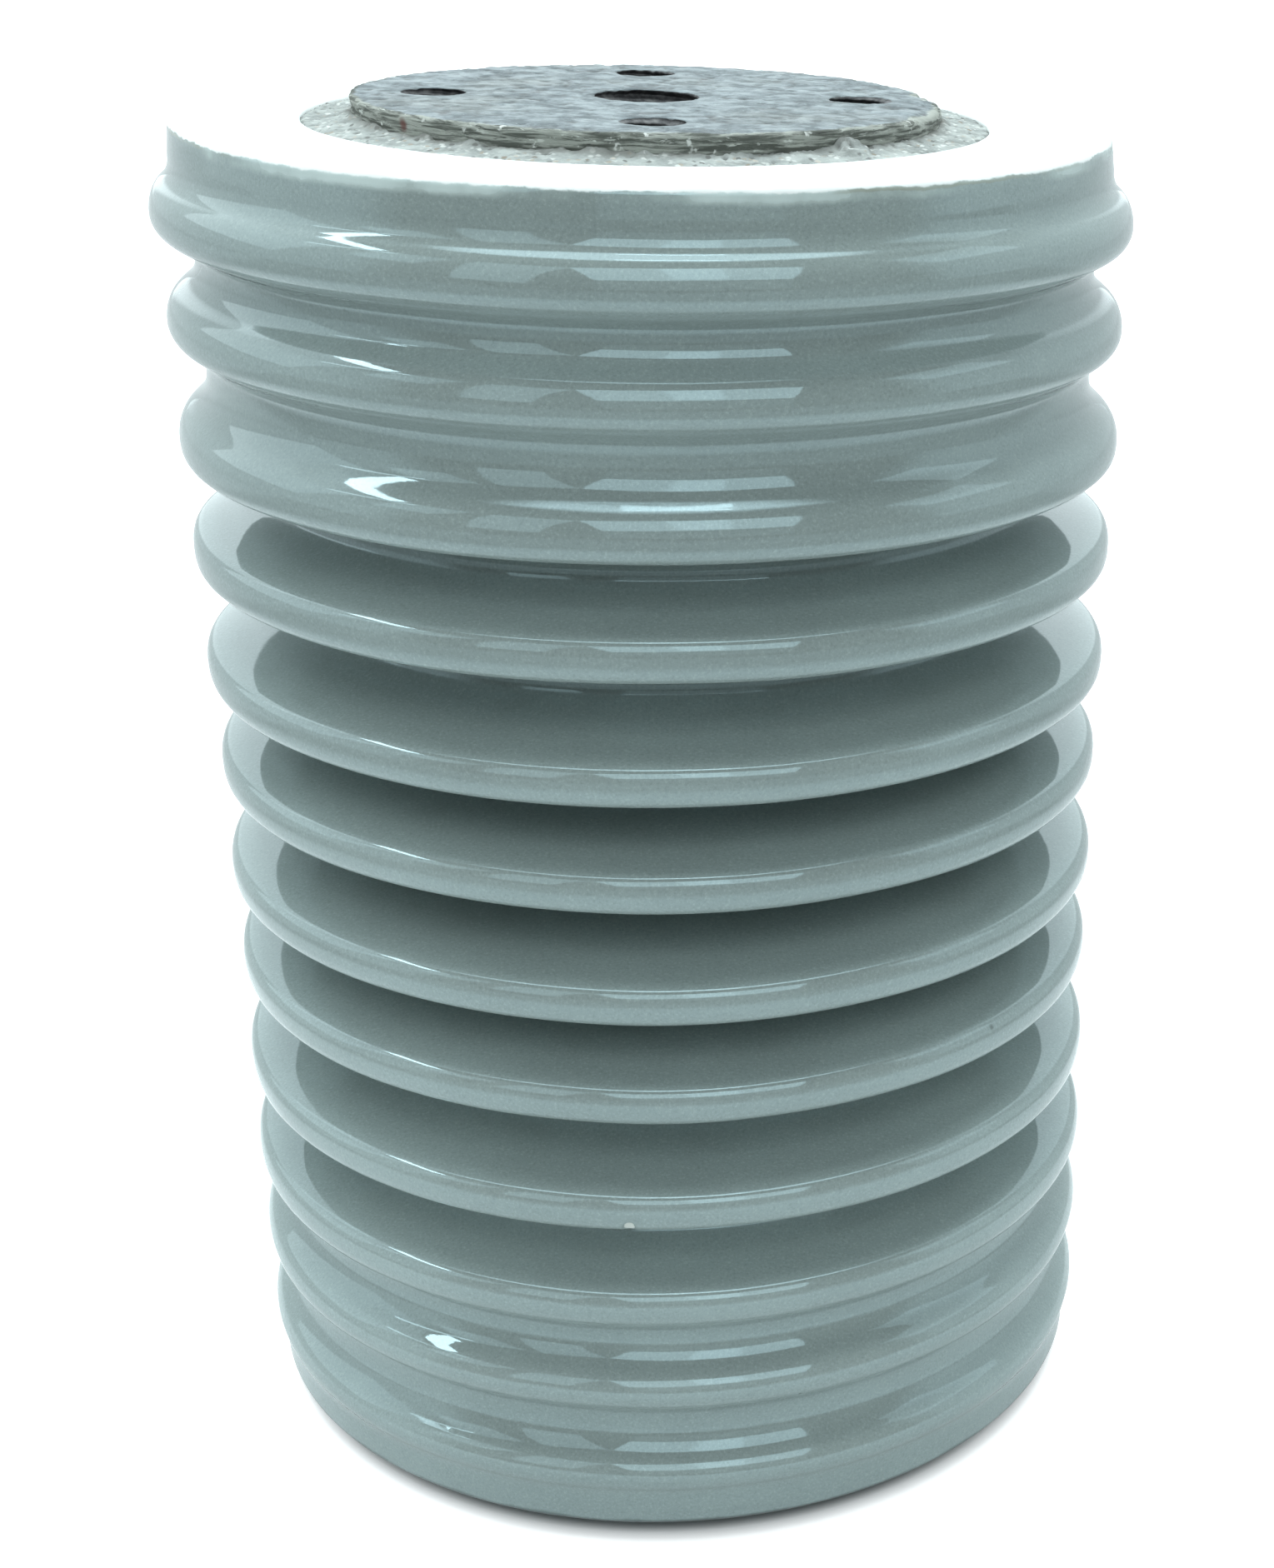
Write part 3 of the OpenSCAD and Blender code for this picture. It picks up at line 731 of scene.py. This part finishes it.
def mat_porcelain():
    n = Nodes("glazed_porcelain")
    bare, sock, depth, chip = n.attr("bare"), n.attr("sock"), n.attr("depth"), n.attr("chip")
    mott = n.noise(26, 5, 0.6)
    mott2 = n.noise(140, 3, 0.6)
    streak = n.noise(1.0, 4, 0.6, vec=n.stretch(22, 22, 240))
    glaze = n.mix(n.ramp(mott, 0.35, 0.70), rgb(*GLAZE_LO), rgb(*GLAZE_HI))
    glaze = n.mix(n.math("MULTIPLY", n.ramp(streak, 0.45, 0.75), 0.30), glaze, rgb(*[c * 0.93 for c in GLAZE_LO]))
    glaze = n.mix(n.math("MULTIPLY", n.ramp(mott2, 0.55, 0.75), 0.15), glaze, rgb(*[c * 1.10 for c in GLAZE_HI]))
    grain = n.noise(1900, 3, 0.7)
    glaze = n.mix(n.ramp(grain, 0.48, 0.30, 0.0, 0.42), glaze, rgb(*[c * 0.66 for c in GLAZE_LO]))
    glaze = n.mix(n.ramp(grain, 0.52, 0.70, 0.0, 0.42), glaze, rgb(*[c * 1.38 for c in GLAZE_HI]))
    # iron specks and pinholes in the glaze
    v = n.voronoi(95)
    speck = n.math("MULTIPLY", n.ramp(v[0], 0.050, 0.020), n.ramp(n.noise(31, 2), 0.62, 0.66))
    v2 = n.voronoi(260)
    fleck = n.math("MULTIPLY", n.ramp(v2[0], 0.07, 0.03), n.ramp(n.noise(55, 2), 0.62, 0.68))
    dots = n.spot(-71.2, 84.6, 240.1, 0.42)
    for th, r, z, size in ((-46.7, 86.4, 99.6, 0.55), (-79.0, 86.1, 92.7, 0.50), (-30.2, 84.0, 194.4, 0.9), (-27.4, 84.0, 193.0, 0.6),
                           (118.0, 86.9, 150.6, 0.55), (52.0, 84.1, 243.0, 0.5), (171.0, 86.7, 62.5, 0.6), (20.0, 86.2, 128.2, 0.45)):
        dots = n.math("MAXIMUM", dots, n.spot(th, r, z, size))
    dots = n.math("MAXIMUM", dots, speck)
    glaze = n.mix(n.math("MULTIPLY", dots, 0.80), glaze, rgb(0.085, 0.095, 0.085))
    glaze = n.mix(n.math("MULTIPLY", fleck, 0.35), glaze, rgb(0.20, 0.23, 0.22))
    # painted shade: the grooves darkened the deeper they lie, and rougher there as from dust, with hairline scuffs
    # through it
    dust_and_groove_shade = n.math("MULTIPLY", n.ramp(depth, 0.25, 0.95), n.ramp(n.noise(60, 5, 0.65), 0.40, 0.75))
    glaze = n.mix(n.math("MULTIPLY", dust_and_groove_shade, GROOVE_SHADE), glaze, rgb(0.18, 0.205, 0.185))
    scuff = n.ramp(n.noise(1.0, 5, 0.7, vec=n.stretch(130, 130, 900), distort=0.6), 0.70, 0.76)
    scuff = n.math("MULTIPLY", n.math("MULTIPLY", scuff, n.ramp(n.noise(24, 2), 0.56, 0.64)), n.ramp(depth, 0.30, 0.45))
    glaze = n.mix(n.math("MULTIPLY", scuff, 0.30), glaze, rgb(0.62, 0.66, 0.63))
    bisque = n.mix(n.ramp(n.noise(90, 5, 0.6), 0.3, 0.7), rgb(0.80, 0.82, 0.80), rgb(0.88, 0.90, 0.88))
    bisque = n.mix(n.math("MULTIPLY", n.ramp(n.noise(420, 3, 0.7), 0.60, 0.74), 0.25), bisque, rgb(0.52, 0.53, 0.49))
    socket = n.mix(n.ramp(n.noise(300, 4, 0.6), 0.3, 0.7), rgb(0.55, 0.50, 0.42), rgb(0.70, 0.66, 0.58))
    # the ground white corner, then a dry, pale band where the glaze starts, with a broken brownish line
    xyz = n.xyz()
    radial = n.math("SQRT", n.math("ADD", n.math("MULTIPLY", xyz[0], xyz[0]), n.math("MULTIPLY", xyz[1], xyz[1])))
    near = n.math("MULTIPLY", n.math("SUBTRACT", Z_HIGH * MM, xyz[2]), 1000.0)
    low = n.math("MULTIPLY", n.math("SUBTRACT", xyz[2], Z_LOW * MM), 1000.0)
    near = n.math("ADD", near, n.ramp(n.noise(55, 4, 0.6), 0.25, 0.75, -0.35, 0.35))
    near = n.math("ADD", near, n.ramp(n.noise(420, 3, 0.6), 0.25, 0.75, -0.14, 0.14))
    outer = n.ramp(radial, 0.0765, 0.0780)
    dry = n.math("MULTIPLY", n.ramp(near, 3.1, 1.7), n.ramp(n.noise(38, 4), 0.36, 0.60, 0.05, 0.95))
    col = n.mix(n.math("MULTIPLY", dry, outer), glaze, rgb(0.56, 0.645, 0.62))
    white = n.math("MULTIPLY", n.ramp(near, 1.05, 0.70), outer)
    col = n.mix(n.math("MAXIMUM", bare, white), col, bisque)
    line = n.math("MULTIPLY", n.ramp(n.math("ABSOLUTE", n.math("SUBTRACT", near, 1.15)), 0.38, 0.10), n.ramp(n.noise(21, 4), 0.52, 0.60))
    col = n.mix(n.math("MULTIPLY", n.math("MULTIPLY", line, outer), 0.60), col, rgb(0.30, 0.31, 0.24))
    foot_contact_shadow = n.math("ADD", low, n.ramp(n.noise(60, 4, 0.6), 0.25, 0.75, -0.4, 0.4))
    foot_contact_shadow = n.math("MULTIPLY", n.ramp(foot_contact_shadow, 1.7, 0.7), outer)                    # painted contact shadow: the foot's lower edge darkened
    col = n.mix(n.math("MULTIPLY", foot_contact_shadow, 0.85), col, rgb(0.085, 0.10, 0.095))
    col = n.mix(sock, col, socket)
    col = n.mix(n.ramp(chip, 0.25, 0.6), col, rgb(0.62, 0.64, 0.60))
    rough = n.math("ADD", n.ramp(n.noise(40, 4), 0.3, 0.75, 0.03, 0.075), n.math("MULTIPLY", dust_and_groove_shade, 0.12))
    dull = n.math("MAXIMUM", n.math("MAXIMUM", bare, sock), n.ramp(chip, 0.25, 0.6))
    dull = n.math("MAXIMUM", dull, n.math("MULTIPLY", n.math("MAXIMUM", n.math("MULTIPLY", dry, 0.55), white), outer))
    rough = n.math("MAXIMUM", rough, n.math("MULTIPLY", dull, 0.85))
    peel = n.noise(420, 2, 0.5)
    wavy = n.noise(60, 2, 0.5)
    nb = n.bump(wavy, 0.05, 0.0006)
    nb = n.bump(peel, 0.05, 0.00015, nb)
    grit = n.noise(1500, 3, 0.6)
    nb = n.bump(n.math("MULTIPLY", grit, dull), 0.35, 0.0001, nb)
    n.set(Base_Color=col, Roughness=rough, Normal=nb, IOR=1.70, Specular_Tint=rgb(0.74, 1.0, 1.08))
    return n.m


def mat_insert():
    n = Nodes("insert_casting")
    wall, pit, hole = n.attr("wall"), n.attr("pit"), n.attr("hole")
    big = n.noise(45, 5, 0.6)
    mid = n.noise(210, 5, 0.65, distort=0.4)
    fine = n.noise(900, 4, 0.7)
    col = n.mix(n.ramp(mid, 0.32, 0.68), rgb(0.085, 0.106, 0.115), rgb(0.22, 0.262, 0.277))
    col = n.mix(n.math("MULTIPLY", n.ramp(big, 0.50, 0.72), 0.35), col, rgb(0.18, 0.19, 0.17))
    col = n.mix(n.math("MULTIPLY", n.ramp(fine, 0.55, 0.75), 0.45), col, rgb(0.42, 0.48, 0.49))
    # file and trowel marks across the face
    mark = n.ramp(n.noise(1.0, 5, 0.7, vec=n.stretch(70, 900, 900), distort=0.3), 0.56, 0.70)
    col = n.mix(n.math("MULTIPLY", mark, 0.40), col, rgb(0.065, 0.075, 0.075))
    # painted highlight: pale streaks across the face standing in for glints of light on its bumps
    painted_glint = n.ramp(n.noise(1.0, 4, 0.7, vec=n.stretch(110, 1100, 1100)), 0.62, 0.72)
    col = n.mix(n.math("MULTIPLY", painted_glint, 0.55), col, rgb(0.60, 0.68, 0.69))
    dark = n.voronoi(190)
    spots = n.math("MULTIPLY", n.ramp(dark[0], 0.20, 0.09), n.ramp(n.noise(70, 3), 0.50, 0.58))
    col = n.mix(n.math("MULTIPLY", n.math("MAXIMUM", pit, spots), 0.80), col, rgb(0.05, 0.055, 0.055))
    # the rough side: crusted in layers, cracked, with whitish chips and a rust spot
    layer = n.noise(1.0, 5, 0.65, vec=n.stretch(110, 110, 1150), distort=0.5)
    crust = n.mix(n.ramp(layer, 0.41, 0.59), rgb(0.085, 0.093, 0.08), rgb(0.34, 0.36, 0.325))
    split = n.ramp(n.noise(1.0, 5, 0.7, vec=n.stretch(150, 150, 1700), distort=0.8), 0.60, 0.67)
    crust = n.mix(n.math("MULTIPLY", split, 0.92), crust, rgb(0.022, 0.024, 0.021))
    pale = n.ramp(n.noise(1.0, 4, 0.7, vec=n.stretch(190, 190, 1000), distort=0.5), 0.61, 0.69)
    crust = n.mix(n.math("MULTIPLY", pale, 0.75), crust, rgb(0.60, 0.63, 0.59))
    chips = n.ramp(n.noise(330, 3, 0.6), 0.64, 0.70)
    crust = n.mix(n.math("MULTIPLY", chips, 0.8), crust, rgb(0.72, 0.74, 0.71))
    crust = n.mix(n.math("MULTIPLY", n.spot(-142.0, 52.8, 257.0, 1.0), 0.85), crust, rgb(0.13, 0.045, 0.035))
    col = n.mix(n.ramp(wall, 0.45, 0.95), col, crust)
    bore = n.mix(n.ramp(n.noise(600, 4, 0.6), 0.35, 0.7), rgb(0.045, 0.045, 0.048), rgb(0.15, 0.15, 0.15))
    col = n.mix(n.ramp(hole, 0.55, 0.9), col, bore)
    metal = n.math("MULTIPLY", n.ramp(wall, 0.9, 0.3, 0.05, 0.45), n.ramp(pit, 0.8, 0.1, 0.2, 1.0))
    rough = n.math("ADD", n.ramp(mid, 0.3, 0.7, 0.66, 0.46), n.math("MULTIPLY", n.ramp(wall, 0.4, 0.9), 0.30), clamp=True)
    nb = n.bump(n.noise(480, 6, 0.7, distort=0.5), 0.6, 0.00025)
    nb = n.bump(n.noise(1700, 4, 0.7), 0.45, 0.00008, nb)
    nb = n.bump(n.math("MULTIPLY", layer, wall), 0.6, 0.0006, nb)
    n.set(Base_Color=col, Metallic=metal, Roughness=rough, Normal=nb)
    return n.m


def mat_cement():
    n = Nodes("portland_cement")
    pit, seam, insert_corner_shade = n.attr("pit"), n.attr("seam"), n.attr("insert_corner_shade")
    col = n.mix(n.ramp(n.noise(170, 6, 0.65), 0.30, 0.70), rgb(0.24, 0.26, 0.25), rgb(0.44, 0.47, 0.452))
    # smeared on in streaks round the insert
    smear = n.noise(1.0, 5, 0.65, vec=n.stretch(60, 420, 420), distort=0.4)
    col = n.mix(n.math("MULTIPLY", n.ramp(smear, 0.50, 0.66), 0.55), col, rgb(0.19, 0.20, 0.187))
    col = n.mix(n.math("MULTIPLY", n.ramp(n.noise(1.0, 4, 0.65, vec=n.stretch(80, 600, 600)), 0.58, 0.70), 0.55), col, rgb(0.72, 0.75, 0.72))
    v = n.voronoi(820)
    grain = n.ramp(v[0], 0.55, 0.25)
    tint = n.t.nodes.new("ShaderNodeSeparateColor")
    n.t.links.new(v[1], tint.inputs[0])
    col = n.mix(n.math("MULTIPLY", n.math("MULTIPLY", grain, n.ramp(tint.outputs[0], 0.78, 0.84)), 0.75), col, rgb(0.09, 0.09, 0.085))
    col = n.mix(n.math("MULTIPLY", n.math("MULTIPLY", grain, n.ramp(tint.outputs[1], 0.72, 0.80)), 0.6), col, rgb(0.72, 0.74, 0.71))
    col = n.mix(n.math("MULTIPLY", n.math("MULTIPLY", grain, n.ramp(tint.outputs[2], 0.88, 0.92)), 0.5), col, rgb(0.34, 0.27, 0.19))
    # painted shade: the mortar darkened in the corner against the insert
    col = n.mix(n.math("MULTIPLY", insert_corner_shade, n.ramp(n.noise(150, 4), 0.35, 0.65, 0.25, 0.80)), col, rgb(0.17, 0.17, 0.155))
    col = n.mix(n.math("MULTIPLY", pit, 0.8), col, rgb(0.05, 0.05, 0.048))
    col = n.mix(n.math("MULTIPLY", seam, n.ramp(n.noise(110, 4), 0.38, 0.60, 0.0, 0.95)), col, rgb(0.07, 0.07, 0.065))
    nb = n.bump(n.noise(650, 6, 0.7), 0.7, 0.0003)
    nb = n.bump(v[0], 0.35, 0.0002, nb)
    n.set(Base_Color=col, Roughness=0.93, Normal=nb)
    n.b.inputs["Specular IOR Level"].default_value = 0.3
    return n.m


def mat_grit():
    n = Nodes("sanded_grit")
    v = n.voronoi(700)
    col = n.mix(n.ramp(n.noise(240, 5, 0.6), 0.3, 0.7), rgb(0.36, 0.30, 0.21), rgb(0.60, 0.54, 0.42))
    col = n.mix(n.ramp(v[0], 0.2, 0.6), col, rgb(0.24, 0.20, 0.15))
    n.set(Base_Color=col, Roughness=0.88, Normal=n.bump(v[0], 0.8, 0.0006))
    return n.m


def mat_bitumen():
    n = Nodes("bitumen")
    col = n.mix(n.ramp(n.noise(90, 4), 0.35, 0.7), rgb(0.008, 0.008, 0.009), rgb(0.030, 0.028, 0.027))
    n.set(Base_Color=col, Roughness=n.ramp(n.noise(120, 4), 0.3, 0.7, 0.28, 0.5), Normal=n.bump(n.noise(160, 4, 0.6), 0.5, 0.0005))
    return n.m


def mat_cork():
    n = Nodes("cork_disc")
    v = n.voronoi(330)
    sep = n.t.nodes.new("ShaderNodeSeparateColor")
    n.t.links.new(v[1], sep.inputs[0])
    col = n.mix(sep.outputs[0], rgb(0.30, 0.17, 0.08), rgb(0.52, 0.34, 0.18))
    edge = n.voronoi(330, "DISTANCE_TO_EDGE")
    col = n.mix(n.ramp(edge[0], 0.09, 0.01), col, rgb(0.10, 0.055, 0.03))
    n.set(Base_Color=col, Roughness=0.85, Normal=n.bump(edge[0], 0.6, 0.0005))
    return n.m


# ------------------------------------------------------------------ build the pieces
M_PORC, M_INS, M_CEM = mat_porcelain(), mat_insert(), mat_cement()

body = build_body()
body.data.materials.append(M_PORC)
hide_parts("porcelain_body")
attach(body, "root")

for end, top, seed, broken in (("top", True, 101, math.radians(-8)), ("bottom", False, 733, math.radians(140))):
    ins = build_insert(end + "_insert_casting", end + "_insert", top, seed, broken)
    ins.data.materials.append(M_INS)
    cem = build_cement(end + "_cement_ring", end + "_cement", top, seed + 300, (33.0, -43.5, 3.6) if top else (-40.0, 38.5, 3.0))
    cem.data.materials.append(M_CEM)

for key, make in (("sand_band", mat_grit), ("bitumen_film", mat_bitumen), ("cushion_disc", mat_cork)):
    m = make()
    for end in ("top_", "bottom_"):
        o = NODES[end + key]
        o.data.materials.clear()
        o.data.materials.append(m)

# ------------------------------------------------------------------ camera
F_PX, PX, PY = 3021.8, 1186.8, 1257.7
W_PX, H_PX = 1529.0, 1882.0
cam_data = bpy.data.cameras.new("camera")
cam = bpy.data.objects.new("camera", cam_data)
bpy.context.scene.collection.objects.link(cam)
cam_data.sensor_width = 36.0
cam_data.lens = F_PX / H_PX * 36.0
cam_data.clip_start, cam_data.clip_end = 0.1, 60.0
pitch, yaw, roll = math.radians(26.767), math.radians(7.965 + 0.91), math.radians(2.079)
fwd = Vector((math.sin(yaw) * math.cos(pitch), math.cos(yaw) * math.cos(pitch), -math.sin(pitch)))
right = Vector((math.cos(yaw), -math.sin(yaw), 0))
up = right.cross(fwd)
r2 = math.cos(roll) * right + math.sin(roll) * up
u2 = -math.sin(roll) * right + math.cos(roll) * up
rot = Matrix((r2, u2, -fwd)).transposed()
cam.matrix_world = Matrix.Translation((-0.00776, -0.48823, 0.31221)) @ rot.to_4x4()
bpy.context.scene.camera = cam


def lens_shift(prop, value):
    """The picture is off the lens axis, as in a cropped shot. The shift hangs on the camera's rotation mode, so that it drops out when the camera is turned round the object with quaternions."""
    fc = cam_data.driver_add(prop)
    drv = fc.driver
    drv.type = "SUM"
    var = drv.variables.new()
    var.type = "SINGLE_PROP"
    var.targets[0].id_type = "OBJECT"
    var.targets[0].id = cam
    var.targets[0].data_path = "rotation_mode"
    while len(fc.keyframe_points):
        fc.keyframe_points.remove(fc.keyframe_points[0])
    for m in list(fc.modifiers):
        fc.modifiers.remove(m)
    g = fc.modifiers.new("GENERATOR")
    g.mode = "POLYNOMIAL"
    g.poly_order = 1
    g.coefficients = (0.0, value)


cam.rotation_mode = "XYZ"
lens_shift("shift_x", (W_PX / 2 - PX) / H_PX)
lens_shift("shift_y", (PY - H_PX / 2) / H_PX)

# ------------------------------------------------------------------ floor
fl = bpy.data.meshes.new("floor")
seg = 96
ang = np.linspace(0, 2 * math.pi, seg, endpoint=False)
fl.from_pydata([(6 * math.cos(a), 6 * math.sin(a), -0.0002) for a in ang], [], [list(range(seg))])
floor = bpy.data.objects.new("floor", fl)
bpy.context.scene.collection.objects.link(floor)
fm = Nodes("pale_floor")
fcol = fm.mix(fm.ramp(fm.noise(3, 4), 0.3, 0.7), rgb(0.84, 0.84, 0.84), rgb(0.88, 0.88, 0.88))
flp = fm.t.nodes.new("ShaderNodeLightPath")
fxy = fm.xyz()
fdist = fm.math("SQRT", fm.math("ADD", fm.math("MULTIPLY", fxy[0], fxy[0]), fm.math("MULTIPLY", fxy[1], fxy[1])))
bounce = fm.mix(fm.ramp(fdist, 0.30, 0.56), rgb(0.80, 0.80, 0.80), rgb(0.24, 0.24, 0.24))      # a soft bounce, as from a small table top
bounce = fm.mix(fm.ramp(fxy[1], 0.10, 0.40), bounce, rgb(0.50, 0.50, 0.50))
fcol = fm.mix(fm.ramp(fdist, 0.0785, 0.0840), rgb(0.30, 0.31, 0.31), fcol)                       # painted shadow: the floor darkened in the gap under the foot
fcol = fm.mix(flp.outputs["Is Camera Ray"], bounce, fcol)
fm.set(Base_Color=fcol, Roughness=0.55)
fm.b.inputs["Specular IOR Level"].default_value = 0.25
# painted light: for camera rays the floor glows, whitening it outside the foot's edge but not beneath the foot
fm.b.inputs["Emission Color"].default_value = rgb(1, 1, 1)
fm.set(Emission_Strength=fm.math("MULTIPLY", flp.outputs["Is Camera Ray"], fm.ramp(fdist, 0.0800, 0.0875, 0.0, 0.62)))
fm.m.cycles.emission_sampling = "NONE"
fl.materials.append(fm.m)

# ------------------------------------------------------------------ light
TINT = (0.90, 1.0, 1.025)
CEIL, CEIL_TILT, CEIL_HALF = 4.5, math.radians(13), math.radians(27)
WALL, WALL_AZ, WALL_LEAN, SIDE, BASE, HIGH = 0.78, math.radians(160), 0.83, 0.90, 0.07, 0.5
world = bpy.data.worlds.new("studio")
bpy.context.scene.world = world
world.use_nodes = True
wt = world.node_tree
wt.nodes.clear()
wo = wt.nodes.new("ShaderNodeOutputWorld")
wb = wt.nodes.new("ShaderNodeBackground")
wt.links.new(wb.outputs[0], wo.inputs[0])
tc = wt.nodes.new("ShaderNodeTexCoord")
sep = wt.nodes.new("ShaderNodeSeparateXYZ")
wt.links.new(tc.outputs["Generated"], sep.inputs[0])


def wmap(sock, a, b, lo, hi):
    n = wt.nodes.new("ShaderNodeMapRange")
    n.interpolation_type = "SMOOTHSTEP"
    wt.links.new(sock, n.inputs["Value"])
    for k, v in (("From Min", a), ("From Max", b), ("To Min", lo), ("To Max", hi)):
        n.inputs[k].default_value = v
    return n.outputs[0]


def wmath(op, a, b):
    n = wt.nodes.new("ShaderNodeMath")
    n.operation = op
    for k, v in enumerate((a, b)):
        if isinstance(v, bpy.types.NodeSocket):
            wt.links.new(v, n.inputs[k])
        else:
            n.inputs[k].default_value = v
    return n.outputs[0]


def band(sock, a, b, soft):
    """1 between a and b, with edges soft wide."""
    return wmath("MULTIPLY", wmap(sock, a - soft, a + soft, 0, 1), wmap(sock, b - soft, b + soft, 1, 0))


# a white room: bright ceiling, pale walls behind and beside the object, dark on the camera's side
el = wmath("ARCSINE", sep.outputs["Z"], 0.0)
az = wmath("ABSOLUTE", wmath("ARCTAN2", sep.outputs["X"], wmath("MULTIPLY", sep.outputs["Y"], -1.0)), 0.0)
tilted = wmath("ADD", wmath("MULTIPLY", sep.outputs["Z"], math.cos(CEIL_TILT)), wmath("MULTIPLY", sep.outputs["Y"], math.sin(CEIL_TILT)))
ceiling = wmap(tilted, math.cos(CEIL_HALF + 0.05), math.cos(CEIL_HALF - 0.05), 0.0, CEIL)
# the wall behind reaches further round the higher up it is looked at
edge = wmath("SUBTRACT", WALL_AZ, wmath("MULTIPLY", wmath("MAXIMUM", el, 0.0), WALL_LEAN))
wall = wmath("MULTIPLY", wmap(wmath("SUBTRACT", az, edge), -0.04, 0.04, 0.0, WALL), wmap(el, 0.95, 1.10, 1.0, 0.0))
side = wmath("MULTIPLY", wmap(az, 1.0, 1.3, 0.0, SIDE), wmap(el, 0.55, 0.85, 1.0, 0.0))
high = wmath("MULTIPLY", wmap(az, 1.70, 1.95, 0.0, HIGH), band(el, 0.72, 1.12, 0.05))
level = wmath("ADD", wmath("ADD", wmath("ADD", BASE, high), ceiling), wmath("ADD", wall, side))
lp = wt.nodes.new("ShaderNodeLightPath")
mixn = wt.nodes.new("ShaderNodeMix")
mixn.data_type = "FLOAT"
wt.links.new(lp.outputs["Is Camera Ray"], mixn.inputs[0])
wt.links.new(level, mixn.inputs[2])
mixn.inputs[3].default_value = 1.0
wt.links.new(mixn.outputs[0], wb.inputs["Strength"])
mixc = wt.nodes.new("ShaderNodeMix")
mixc.data_type = "RGBA"
wt.links.new(lp.outputs["Is Camera Ray"], mixc.inputs[0])
mixc.inputs[6].default_value = rgb(*TINT)
mixc.inputs[7].default_value = rgb(1, 1, 1)
wt.links.new(mixc.outputs[2], wb.inputs["Color"])


def panel(name, az, el, w_deg, h_deg, radiance, dist=2.6, color=TINT):
    """A rectangular lamp seen from the object at azimuth az (0 is the camera's side, 90 is +X) and elevation el."""
    a, e = math.radians(az), math.radians(el)
    d = Vector((math.sin(a) * math.cos(e), -math.cos(a) * math.cos(e), math.sin(e)))
    li = bpy.data.lights.new(name, "AREA")
    li.shape = "RECTANGLE"
    li.size = 2 * dist * math.tan(math.radians(w_deg / 2))
    li.size_y = 2 * dist * math.tan(math.radians(h_deg / 2))
    li.energy = radiance * math.pi * li.size * li.size_y
    li.color = color
    ob = bpy.data.objects.new(name, li)
    bpy.context.scene.collection.objects.link(ob)
    ob.location = Vector((0, 0, 0.14)) + d * dist
    ob.rotation_mode = "QUATERNION"
    ob.rotation_quaternion = d.to_track_quat("Z", "Y")
    return ob


def tube(name, a0, a1, wide, radiance, dist=2.5):
    """A long narrow lamp between two directions (azimuth, elevation), wide degrees thick."""
    ends = []
    for az_, el_ in (a0, a1):
        a, e = math.radians(az_), math.radians(el_)
        ends.append(Vector((math.sin(a) * math.cos(e), -math.cos(a) * math.cos(e), math.sin(e))) * dist)
    mid, along = (ends[0] + ends[1]) / 2, ends[1] - ends[0]
    li = bpy.data.lights.new(name, "AREA")
    li.shape = "RECTANGLE"
    li.size = along.length
    li.size_y = 2 * dist * math.tan(math.radians(wide / 2))
    li.energy = radiance * math.pi * li.size * li.size_y
    li.color = TINT
    ob = bpy.data.objects.new(name, li)
    bpy.context.scene.collection.objects.link(ob)
    z = mid.normalized()
    x = along.normalized()
    y = z.cross(x)
    ob.matrix_world = Matrix.Translation(Vector((0, 0, 0.14)) + mid) @ Matrix((x, y, z)).transposed().to_4x4()
    return ob


panel("lamp_front", 8, 38, 43, 30, 2.6)
panel("lamp_front_core", 9, 39, 11, 26, 1.3, 2.5)
panel("lamp_front_low", 8, 13, 42, 18, 0.35)
panel("lamp_left_mid", -37, 29, 17, 38, 1.2)
panel("lamp_left_side", -66, 38, 16, 18, 1.0)
panel("lamp_left", -112, 30, 40, 34, 0.9)
panel("lamp_right", 86, 40, 28, 18, 1.0)
tube("tube_left", (-114, 49), (-80, 46), 4.2, 12.0)
tube("tube_left_low", (-97, 37), (-72, 45), 1.6, 4.0)
tube("tube_ceiling", (-25, 77), (40, 75), 2.0, 6.0)

bpy.context.scene.view_settings.view_transform = "Standard"
bpy.context.scene.view_settings.look = "None"
